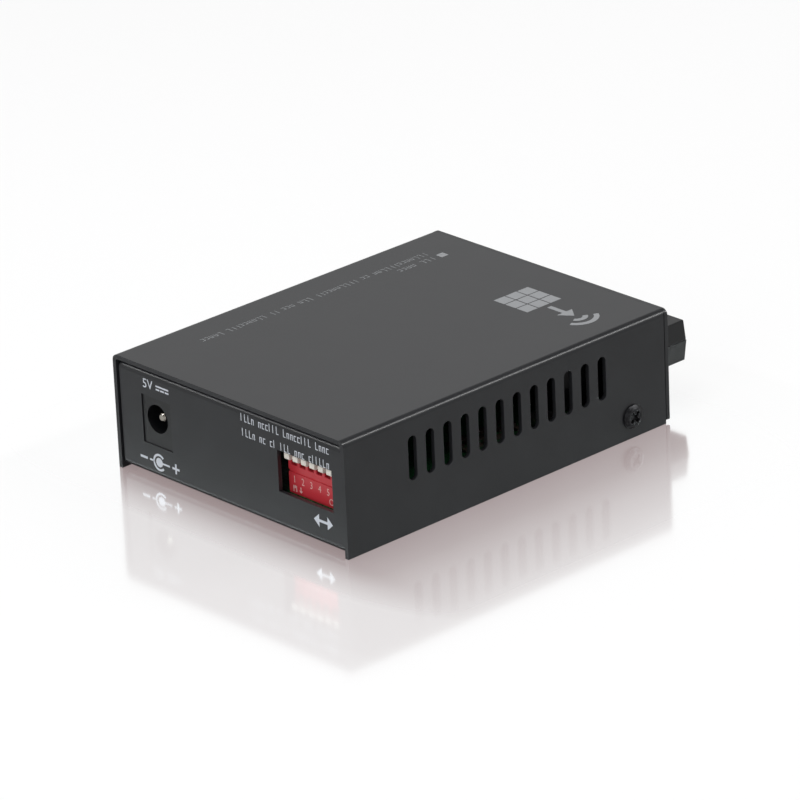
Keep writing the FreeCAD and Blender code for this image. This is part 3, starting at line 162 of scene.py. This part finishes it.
def set_world():
    """White to the camera. Elsewhere two low bright backdrops under a dim ceiling."""
    world = bpy.data.worlds.new("studio")
    bpy.context.scene.world = world
    world.use_nodes = True
    tree = world.node_tree
    tree.nodes.clear()
    path = add(tree, "LightPath")
    where = add(tree, "TexCoord")
    backdrops = []
    for toward, first, last, peak in BACKDROPS:
        nearness = add(tree, "VectorMath", {0: where.outputs["Generated"],
                                            1: Vector(toward).normalized()},
                       operation="DOT_PRODUCT")
        backdrops.append(smooth_range(tree, nearness.outputs["Value"], (first, last),
                                      SURROUND, peak))
    backdrop = add(tree, "Math", {0: backdrops[0].outputs[0], 1: backdrops[1].outputs[0]},
                   operation="MAXIMUM")
    height = add(tree, "SeparateXYZ", {0: where.outputs["Generated"]})
    ceiling = smooth_range(tree, height.outputs["Z"], CEILING_RISE, 1.0, CEILING_SHARE)
    tent = add(tree, "Math", {0: backdrop.outputs[0], 1: ceiling.outputs[0]},
               operation="MULTIPLY")
    level = add(tree, "Mix", {0: path.outputs["Is Camera Ray"], 2: tent.outputs[0], 3: 1.0})
    background = add(tree, "Background", {"Color": (1, 1, 1, 1), "Strength": level.outputs[0]})
    output = add(tree, "OutputWorld")
    tree.links.new(background.outputs[0], output.inputs["Surface"])


def add_softbox(name, place, size, power, along=(1, 0, 0), colour=(1, 1, 1), glossy=True):
    """Rectangular light aimed at the case, its first side along a direction. Place and
    size are in metres, power is in watts. Without glossy it isn't reflected."""
    light = bpy.data.lights.new(name, "AREA")
    light.shape = "RECTANGLE"
    light.size, light.size_y = size
    light.energy = power
    light.color = colour
    lamp = bpy.data.objects.new(name, light)
    back = Vector(place).normalized()
    side = Vector(along) - back * back.dot(Vector(along))
    side.normalize()
    turn = Matrix((side, back.cross(side), back)).transposed()
    lamp.matrix_world = Matrix.Translation(place) @ turn.to_4x4()
    lamp.visible_glossy = glossy
    bpy.context.scene.collection.objects.link(lamp)


def light_studio():
    """Big soft light overhead, a fill behind, and a narrow strip for each set of folds."""
    add_softbox("overhead_softbox", (0.05, 0.10, 0.75), (0.6, 0.6), 2.85)
    add_softbox("rear_fill", (-0.25, 0.85, 0.35), (0.5, 0.5), 3.2, colour=COOL_WHITE,
                glossy=False)
    add_softbox("side_fold_strip", (-0.50, -0.60, 0.61), (1.0, 0.07), 4.2, along=(0, 1, 0))
    add_softbox("rear_fold_strip", (0.48, 0.50, 0.51), (0.7, 0.06), 1.25, along=(1, 0, 0))


# ---- Materials -------------------------------------------------------------------------
def linear(hex_colour):
    """sRGB hex to linear RGBA."""
    parts = [int(hex_colour[i:i + 2], 16) / 255 for i in (1, 3, 5)]
    return (*(part / 12.92 if part <= 0.04045 else ((part + 0.055) / 1.055) ** 2.4
              for part in parts), 1)


def finish(name, colour, roughness, metallic=0.0, **sockets):
    """Principled material. Returns it with its tree and its shader."""
    material = bpy.data.materials.new(name)
    material.use_nodes = True
    tree = material.node_tree
    shader = tree.nodes["Principled BSDF"]
    shader.inputs["Base Color"].default_value = linear(colour)
    shader.inputs["Roughness"].default_value = roughness
    shader.inputs["Metallic"].default_value = metallic
    for socket, value in sockets.items():
        shader.inputs[socket.replace("_", " ")].default_value = value
    material.diffuse_color = linear(colour)
    return material, tree, shader


def grain(tree, size_mm, detail=2.0, stretch=(1, 1, 1)):
    """Noise whose features are about size_mm across, on the piece's own coordinates."""
    where = add(tree, "TexCoord")
    spread = add(tree, "Mapping", {"Vector": where.outputs["Object"], "Scale": stretch})
    return add(tree, "TexNoise", {"Vector": spread.outputs[0], "Scale": 1 / (size_mm * MM),
                                  "Detail": detail, "Roughness": 0.55})


def mottle(tree, shader, noise, dark, light):
    """Colour that wanders between two hex values with the noise."""
    ramp = add(tree, "ValToRGB", {"Fac": noise.outputs[0]})
    ramp.color_ramp.interpolation = "EASE"
    ramp.color_ramp.elements[0].position = 0.35
    ramp.color_ramp.elements[0].color = linear(dark)
    ramp.color_ramp.elements[1].position = 0.65
    ramp.color_ramp.elements[1].color = linear(light)
    tree.links.new(ramp.outputs[0], shader.inputs["Base Color"])


def roughen(tree, shader, noise, low, high):
    """Roughness that wanders between two values with the noise."""
    span = smooth_range(tree, noise.outputs[0], (0.25, 0.75), low, high)
    tree.links.new(span.outputs[0], shader.inputs["Roughness"])


def relief(tree, shader, noise, depth_mm, strength):
    """Bump from the noise. It changes the light on the surface and not its shape."""
    bump = add(tree, "Bump", {"Height": noise.outputs[0], "Distance": depth_mm * MM,
                              "Strength": strength})
    tree.links.new(bump.outputs[0], shader.inputs["Normal"])


def powder_coat():
    """Black polyester powder coat on steel: satin, with a fine orange peel of about half
    a millimetre, drawn a little coarser than it is so that it shows. The roughness stays
    at 0.28 or more, because smoother spots show as specks."""
    material, tree, shader = finish("satin_black_powder_coat", "#28292B", 0.29)
    relief(tree, shader, grain(tree, 0.55, 3.0), 0.01, 0.22)
    blotch = grain(tree, 9.0, 3.0)
    roughen(tree, shader, blotch, 0.28, 0.31)
    mottle(tree, shader, blotch, "#27282A", "#292A2C")
    return material


def black_oxide():
    """Black oxide screw: dark steel with a soft metallic glint and rubbed high spots."""
    material, tree, shader = finish("black_oxide_steel", "#333335", 0.36, 0.75)
    rub = grain(tree, 0.5, 3.0)
    roughen(tree, shader, rub, 0.28, 0.48)
    mottle(tree, shader, rub, "#2A2A2C", "#3C3C3E")
    return material


def moulded(name, colour, roughness, grit_mm=0.18, depth_mm=0.006):
    """Moulded plastic: even colour, faint spark-eroded grain, slight flow marks."""
    material, tree, shader = finish(name, colour, roughness, IOR=1.57)
    relief(tree, shader, grain(tree, grit_mm), depth_mm, 0.6)
    roughen(tree, shader, grain(tree, 3.0), roughness - 0.02, roughness + 0.02)
    return material


def plated(name, colour, roughness, grain_mm=0.4, stretch=(1, 1, 1)):
    """Plated or bare metal: slight change of gloss over the surface."""
    material, tree, shader = finish(name, colour, roughness, 1.0)
    cloud = grain(tree, grain_mm, 3.0, stretch)
    roughen(tree, shader, cloud, roughness * 0.85, roughness * 1.2)
    relief(tree, shader, cloud, 0.003, 0.4)
    return material


def solder_mask():
    """Green solder mask over glass epoxy: glossy and a little uneven, with fields of 2.5
    by 1.25 mm in two greens that stand for the copper below."""
    material, tree, shader = finish("green_solder_mask", "#1E5A34", 0.3)
    where = add(tree, "TexCoord")
    fields = add(tree, "TexBrick", {"Vector": where.outputs["Object"],
                                    "Scale": 1 / (2 * 2.5 * MM), "Mortar Size": 0.035,
                                    "Color1": linear("#1B5230"), "Color2": linear("#236B3E"),
                                    "Mortar": linear("#174729")})
    tree.links.new(fields.outputs["Color"], shader.inputs["Base Color"])
    relief(tree, shader, grain(tree, 1.2), 0.02, 0.4)
    return material


def ink(name, colour):
    """Screen-printed ink: matt, and a little uneven over the coat below."""
    material, tree, shader = finish(name, colour, 0.55)
    relief(tree, shader, grain(tree, 0.35), 0.008, 0.5)
    return material


def lamp_lens():
    """Tinted diffusing epoxy of an unlit green lamp."""
    material, tree, shader = finish("green_diffusing_epoxy", "#8FB98F", 0.22,
                                    Subsurface_Weight=0.35, Subsurface_Scale=0.001)
    relief(tree, shader, grain(tree, 0.5), 0.004, 0.4)
    return material


def make_materials():
    """A material for every slot of the record, and the inks."""
    return {
        "black_powder_coat": powder_coat(),
        "black_screw": black_oxide(),
        "green_board": solder_mask(),
        # Zinc on steel: dull grey with a soft, uneven sheen.
        "zinc_steel": plated("zinc_plated_steel", "#B9BAB6", 0.32),
        # Glass-filled polyester: black and satin.
        "black_moulding": moulded("black_moulded_pbt", "#101113", 0.36),
        # Nickel over brass: bright, a little warm, almost a mirror.
        "nickel": plated("bright_nickel_plate", "#D2CCC2", 0.16),
        # The switch's polyester: an even, satin red.
        "red_moulding": moulded("red_moulded_pbt", "#C4363E", 0.34, 0.25, 0.004),
        # The levers' polyester: a warm, satin white.
        "white_lever": moulded("white_moulded_pbt", "#E9E4D8", 0.4, 0.25, 0.004),
        # Tinned leads: bright and slightly cloudy.
        "tin": plated("bright_tin_plate", "#CFCFCC", 0.24, 0.8),
        # Turned steel: grey, with fine rings about the barrel.
        "steel_barrel": plated("turned_stainless_steel", "#B4B4B4", 0.25, 0.3, (1, 6, 1)),
        # Liquid crystal polymer: dull dark grey.
        "grey_moulding": moulded("grey_moulded_lcp", "#56565A", 0.45),
        # Thin gold over nickel: warm, yellow and bright.
        "gold": plated("gold_plate", "#D9B25C", 0.2),
        # Epoxy package: nearly black and matt.
        "chip_epoxy": moulded("black_epoxy_package", "#1D1D1F", 0.55, 0.12, 0.006),
        # Drawn can: pale, with faint level bands.
        "can_aluminium": plated("drawn_aluminium", "#C2C4C6", 0.28, 0.4, (1, 1, 5)),
        # Fired ceramic: brown and dull, set darker than the real chips as painted shade for
        # the dim inside of the case.
        "ceramic_chip": moulded("sintered_ceramic_painted_shade", "#4A4038", 0.5),
        "green_lens": lamp_lens(),
        "panel_ink": ink("pale_grey_panel_ink", "#D3D8DE"),
        "roof_ink": ink("mid_grey_roof_ink", "#96989A"),
        "roof_line_ink": ink("dim_grey_roof_ink", "#828486"),
        "switch_ink": ink("pale_pink_switch_ink", "#DDB2AC"),
    }


def paint_frame(materials):
    """Give every carried-over node the material of its slot."""
    for row in frame["record"]["subparts"]:
        piece = NODES[row["node"]]
        piece.data.materials.clear()
        piece.data.materials.append(materials[row["material_slot"]])


# ---- Mesh tools ------------------------------------------------------------------------
def bends(edge, degrees):
    """Whether two faces meet at the edge at more than the angle."""
    return edge.is_manifold and edge.calc_face_angle(0) > math.radians(degrees)


def sharpen(mesh):
    """Smooth shading that stays crisp across hard edges."""
    bm = bmesh.new()
    bm.from_mesh(mesh)
    for face in bm.faces:
        face.smooth = True
    for edge in bm.edges:
        edge.smooth = edge.is_manifold and not bends(edge, CRISP_ABOVE)
    bm.to_mesh(mesh)
    bm.free()


def place_piece(name, mesh, material, body="root", replaced=()):
    """Put a mesh in the scene as a piece that rides on a body."""
    piece = bpy.data.objects.new(name, mesh)
    bpy.context.scene.collection.objects.link(piece)
    mesh.materials.clear()
    mesh.materials.append(material)
    if replaced:
        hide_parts(*replaced)
    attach(piece, body)
    return piece


def open_seam(bm):
    """Set the cover's front end back from the front wall, less towards the roof."""
    for vert in bm.verts:
        if vert.co.y < COVER_LOW.y * MM + SAME_SPOT:
            vert.co.y += SEAM * MM * min(1, (ROOF - vert.co.z / MM) / SEAM_FADE)


def eased_copy(node, width):
    """The node's mesh, merged, with its hard edges broken by a small round."""
    bm = bmesh.new()
    bm.from_mesh(NODES[node].data)
    bmesh.ops.remove_doubles(bm, verts=bm.verts, dist=SAME_SPOT)
    bmesh.ops.dissolve_limit(bm, angle_limit=math.radians(FLAT_BELOW), verts=bm.verts,
                             edges=bm.edges)
    if node == "top_cover":
        open_seam(bm)
    hard = [edge for edge in bm.edges if bends(edge, BREAK_ABOVE)]
    bmesh.ops.bevel(bm, geom=hard, offset=width * MM, offset_type="OFFSET", segments=2,
                    profile=0.5, affect="EDGES", clamp_overlap=True, material=-1)
    mesh = bpy.data.meshes.new(node + "_eased")
    bm.to_mesh(mesh)
    bm.free()
    sharpen(mesh)
    return mesh


def ease_frame(materials):
    """Dressed copies of the pieces whose edges catch the light. Their broad faces stay
    flat."""
    slots = {row["node"]: row["material_slot"] for row in frame["record"]["subparts"]}
    for node, width in BROKEN_EDGES.items():
        piece = place_piece(node + "_dressed", eased_copy(node, width), materials[slots[node]],
                            replaced=(node,))
        flatten = piece.modifiers.new("broad faces", "WEIGHTED_NORMAL")
        flatten.keep_sharp = True


# ---- Drawing: flat artwork in X and Y, in millimetres ----------------------------------
def on_rear(x, z, y=PANEL_Y):
    """Artwork that is read from behind the case."""
    turn = Euler((math.pi / 2, 0, math.pi)).to_matrix()
    return Matrix.Translation(Vector((x, y, z)) * MM) @ turn.to_4x4()


def on_roof(x, y, quarter_turns):
    """Artwork on the roof, turned from reading along X."""
    turn = Euler((0, 0, quarter_turns * math.pi / 2)).to_matrix()
    return Matrix.Translation(Vector((x, y, ROOF)) * MM) @ turn.to_4x4()


def outline(bm, points):
    """Flat face from its corners."""
    bm.faces.new([bm.verts.new((x * MM, y * MM, 0)) for x, y in points])


def bar(bm, x0, x1, y0, y1):
    outline(bm, ((x0, y0), (x1, y0), (x1, y1), (x0, y1)))


def disc(bm, radius):
    bmesh.ops.create_circle(bm, cap_ends=True, segments=32, radius=radius * MM)


def arc_band(bm, x, radius, width, start, sweep):
    """Flat band along an arc about a point of the X axis, angles in degrees."""
    turn = math.radians(start)
    centre = Vector((x * MM, 0, 0))
    spot = Vector((math.cos(turn), math.sin(turn), 0)) * MM
    ends = [bm.verts.new(centre + spot * reach)
            for reach in (radius - width / 2, radius + width / 2)]
    edge = bm.edges.new(ends)
    bmesh.ops.spin(bm, geom=[edge] + ends, cent=centre, axis=(0, 0, 1),
                   angle=math.radians(sweep), steps=28)


def print_piece(name, bm, place, material):
    """Give flat artwork its thickness and set it on its surface."""
    bmesh.ops.remove_doubles(bm, verts=bm.verts, dist=SAME_SPOT / 10)
    for face in bm.faces:
        if face.normal.z < 0:
            face.normal_flip()
    made = bmesh.ops.extrude_face_region(bm, geom=bm.faces[:])
    raised = [v for v in made["geom"] if isinstance(v, bmesh.types.BMVert)]
    bmesh.ops.translate(bm, verts=raised, vec=(0, 0, INK_THICKNESS * MM))
    bmesh.ops.recalc_face_normals(bm, faces=bm.faces)
    bmesh.ops.translate(bm, verts=bm.verts, vec=(0, 0, -INK_SINK * MM))
    bmesh.ops.transform(bm, matrix=place, verts=bm.verts)
    mesh = bpy.data.meshes.new(name)
    bm.to_mesh(mesh)
    bm.free()
    place_piece(name, mesh, material)


def lettering(name, text, height, place, material, stretch=1.0):
    """Raised lettering: the capital height is in millimetres."""
    curve = bpy.data.curves.new(name, "FONT")
    curve.body = text
    curve.align_x = "CENTER"
    curve.align_y = "CENTER"
    curve.size = height / CAPITAL * MM
    curve.resolution_u = 3
    curve.extrude = INK_THICKNESS / 2 * MM
    maker = bpy.data.objects.new(name + "_curve", curve)
    bpy.context.scene.collection.objects.link(maker)
    bpy.context.view_layer.update()
    mesh = bpy.data.meshes.new_from_object(maker)
    bpy.data.objects.remove(maker)
    mesh.name = name
    lift = Matrix.Translation((0, 0, (INK_THICKNESS / 2 - INK_SINK) * MM))
    mesh.transform(place @ lift @ Matrix.Diagonal((stretch, 1, 1, 1)))
    place_piece(name, mesh, material)


def greeked_letter(bm, x, low, width, height, kind):
    """One small open mark of upright and level strokes that reads as a letter from afar."""
    stroke = min(0.18 * height, 0.26 * width)
    tall = (1.0, LOW_MARK, LOW_MARK, 1.0)[kind] * height
    bar(bm, x, x + stroke, low, low + tall)
    if kind in (1, 3):
        bar(bm, x + stroke, x + width, low, low + stroke)
    if kind in (1, 2):
        bar(bm, x + stroke, x + width, low + tall - stroke, low + tall)
    if kind == 2:
        bar(bm, x + width - stroke, x + width, low, low + tall - stroke)


def greeked_print(name, lines, height, place, material):
    """Rows of small marks, grouped like words, that stand for small print. A line is its
    start, its end, its middle height and the number of marks in each group."""
    bm = bmesh.new()
    for start, end, middle, words in lines:
        pitch = (end - start) / (sum(words) + len(words) - 1)
        x, count = start, 0
        for word in words:
            for _ in range(word):
                kind = (count * 3 + count // 2) % 4
                greeked_letter(bm, x, middle - height / 2, MARK_SHARE * pitch, height, kind)
                x += pitch
                count += 1
            x += pitch
    print_piece(name, bm, place, material)


# ---- Printing --------------------------------------------------------------------------
def rear_printing(ink_layer):
    """Polarity and rating signs at the power jack, two greeked lines over the switch and a
    two-way arrow under it."""
    bm = bmesh.new()
    bar(bm, -6.05, -3.75, -0.27, 0.27)              # minus
    bar(bm, -3.05, -1.55, -0.2, 0.2)                # lead to the sleeve
    arc_band(bm, 0, 1.72, 0.5, 42, 276)             # sleeve
    disc(bm, 1.05)                                  # pin
    bar(bm, 0.9, 3.3, -0.2, 0.2)                    # lead to the pin
    bar(bm, 4.1, 6.4, -0.25, 0.25)                  # plus
    bar(bm, 5.0, 5.5, -1.15, -0.25)
    bar(bm, 5.0, 5.5, 0.25, 1.15)
    print_piece("polarity_sign", bm, on_rear(JACK_X, POLARITY_Z), ink_layer)
    lettering("rating_sign", "5V", 2.05, on_rear(JACK_X + 2.35, RATING_Z), ink_layer)
    bm = bmesh.new()
    bar(bm, 0.25, 4.3, 0.2, 0.55)
    for i in range(3):
        bar(bm, 0.25 + i * 1.45, 1.4 + i * 1.45, -0.55, -0.2)
    print_piece("direct_current_sign", bm, on_rear(JACK_X, RATING_Z), ink_layer)
    greeked_print("rear_fine_print", ((-13.5, 13.5, 1.65, (4, 6, 8, 4)),
                                      (-13.3, 13.4, -1.65, (4, 2, 2, 3, 3, 6))),
                  REAR_PRINT, on_rear(*FINE_PRINT_AT), ink_layer)
    bm = bmesh.new()
    for side in (-1, 1):
        outline(bm, ((side * 2.85, 0), (side * 1.25, 1.45), (side * 1.25, -1.45)))
    bar(bm, -1.25, 1.25, -0.3, 0.3)
    print_piece("two_way_sign", bm, on_rear(*TWO_WAY_AT), ink_layer)


def roof_printing(ink_layer, line_ink):
    """Greeked name lines along the right edge and a plain port pictogram at the front left.
    The lines read towards the rear."""
    short_line, long_line = (on_roof(x, MIDDLE_Y, 1) for x in (SHORT_LINE_X, LONG_LINE_X))
    bm = bmesh.new()
    bar(bm, -38.3, -36.3, -1.0, 1.0)
    print_piece("roof_square", bm, short_line, ink_layer)
    greeked_print("roof_short_line", ((-34.6, -24.0, 0.0, (3, 4)),), ROOF_PRINT, short_line,
                  line_ink)
    greeked_print("roof_long_line", ((-35.2, 30.5, 0.0, (13, 2, 10, 3, 3, 2, 9, 5)),),
                  ROOF_PRINT, long_line, line_ink)
    bm = bmesh.new()
    for column in range(3):
        for row in range(3):
            x, y = TILE_PITCH * column - 11.5, TILE_PITCH * (row - 1.5)
            bar(bm, x, x + TILE, y, y + TILE)
    bar(bm, 0, 4.6, -0.6, 0.6)                      # arrow
    outline(bm, ((4.6, -2.3), (7.6, 0), (4.6, 2.3)))
    for radius in (1.9, 4.3):                       # waves
        arc_band(bm, 8.2, radius, 1.2, -62, 124)
    x, from_middle = PICTOGRAM_AT
    print_piece("roof_pictogram", bm, on_roof(x, MIDDLE_Y + from_middle, 2), ink_layer)


def switch_printing(ink_layer):
    """Way numbers on the switch's face. Under them, a lever in its slot with an arrow the way
    that it slides, and the word for that end."""
    middle = (SWITCH_LOW.x + SWITCH_HIGH.x) / 2
    first = middle + (SWITCH_WAYS - 1) / 2 * SWITCH_PITCH
    last = first - (SWITCH_WAYS - 1) * SWITCH_PITCH
    face = SWITCH_HIGH.y
    for i in range(SWITCH_WAYS):
        lettering(f"way_number_{i + 1}", str(i + 1), 1.55,
                  on_rear(first - SWITCH_PITCH * i, NUMBER_Z, face), ink_layer, 0.8)
    lettering("switch_on_word", "ON", 1.45, on_rear(last + 0.9, WORD_Z, face), ink_layer, 0.9)
    bm = bmesh.new()
    bar(bm, -1.5, -1.25, -0.7, 0.7)                 # sides of the slot
    bar(bm, -0.65, -0.4, -0.7, 0.7)
    bar(bm, -1.15, -0.75, 0.1, 0.7)                 # lever
    bar(bm, 0.65, 0.95, -0.1, 0.7)                  # arrow
    outline(bm, ((0.8, -0.7), (1.35, -0.1), (0.25, -0.1)))
    print_piece("switch_slide_sign", bm, on_rear(first - 1.0, WORD_Z, face), ink_layer)


# ---- Stage -----------------------------------------------------------------------------
def way_out(tree):
    """0 under the case to 1 at FADE_REACH from it. The way out behind counts in full, the
    way out at the sides by SIDE_WEIGHT."""
    where = add(tree, "TexCoord")
    middle = Vector(((COVER_LOW.x + COVER_HIGH.x) / 2, MIDDLE_Y, 0)) * MM
    half = Vector(((COVER_HIGH.x - COVER_LOW.x) / 2, COVER_HIGH.y - MIDDLE_Y, 0)) * MM
    out = where.outputs["Object"]
    for operation, operand in (("SUBTRACT", middle), ("ABSOLUTE", None), ("SUBTRACT", half),
                               ("MAXIMUM", (0, 0, 0)), ("MULTIPLY", (SIDE_WEIGHT, 1, 0))):
        links = {0: out} if operand is None else {0: out, 1: operand}
        out = add(tree, "VectorMath", links, operation=operation).outputs[0]
    away = add(tree, "VectorMath", {0: out}, operation="LENGTH").outputs["Value"]
    return add(tree, "Math", {0: away, 1: 1 / FADE_REACH}, operation="MULTIPLY")


def ramp_of(tree, value, stops):
    """Colour ramp from a list of places and linear colours."""
    ramp = add(tree, "ValToRGB", {"Fac": value.outputs[0]})
    elements = ramp.color_ramp.elements
    elements.remove(elements[1])
    elements[0].position, elements[0].color = stops[0][0], (*stops[0][1], 1)
    for place, colour in stops[1:]:
        elements.new(place).color = (*colour, 1)
    return ramp


def table_top():
    """Polished white. Its gloss is strong at the foot of the case and fades out from it. To
    the camera it is lifted, so that the backdrop's reflection is as white as the rest."""
    material = bpy.data.materials.new("white_table")
    material.use_nodes = True
    tree = material.node_tree
    tree.nodes.clear()
    gloss_share = ramp_of(tree, way_out(tree), [(place, (GLOSS_RED * share, share, share))
                                                for place, share in FADE])
    rest = add(tree, "VectorMath", {0: (1, 1, 1), 1: gloss_share.outputs[0]},
               operation="SUBTRACT")
    seen = add(tree, "LightPath").outputs["Is Camera Ray"]
    level = add(tree, "Mix", {0: seen, 2: GLOW_UNSEEN, 3: 1.0})
    matt = add(tree, "BsdfDiffuse", {"Color": rest.outputs[0]})
    glow = add(tree, "Emission", {"Color": rest.outputs[0], "Strength": level.outputs[0]})
    white = add(tree, "MixShader", {0: GLOW_SHARE, 1: matt.outputs[0], 2: glow.outputs[0]})
    lift = add(tree, "Mix", {0: seen, 2: GLOSS_UNSEEN / BACKDROP, 3: 1 / BACKDROP})
    lifted = add(tree, "VectorMath", {0: gloss_share.outputs[0], "Scale": lift.outputs[0]},
                 operation="SCALE")
    gloss = add(tree, "BsdfAnisotropic", {"Color": lifted.outputs[0],
                                          "Roughness": GLOSS_ROUGHNESS})
    both = add(tree, "AddShader", {0: white.outputs[0], 1: gloss.outputs[0]})
    output = add(tree, "OutputMaterial")
    tree.links.new(both.outputs[0], output.inputs["Surface"])
    return material


def make_floor():
    bm = bmesh.new()
    bmesh.ops.create_grid(bm, x_segments=1, y_segments=1, size=TABLE_HALF)
    mesh = bpy.data.meshes.new("floor")
    bm.to_mesh(mesh)
    bm.free()
    mesh.materials.append(table_top())
    floor = bpy.data.objects.new("floor", mesh)
    bpy.context.scene.collection.objects.link(floor)


def main():
    bpy.context.scene.view_settings.view_transform = "Standard"
    set_camera()
    set_world()
    light_studio()
    materials = make_materials()
    paint_frame(materials)
    ease_frame(materials)
    rear_printing(materials["panel_ink"])
    roof_printing(materials["roof_ink"], materials["roof_line_ink"])
    switch_printing(materials["switch_ink"])
    make_floor()


main()
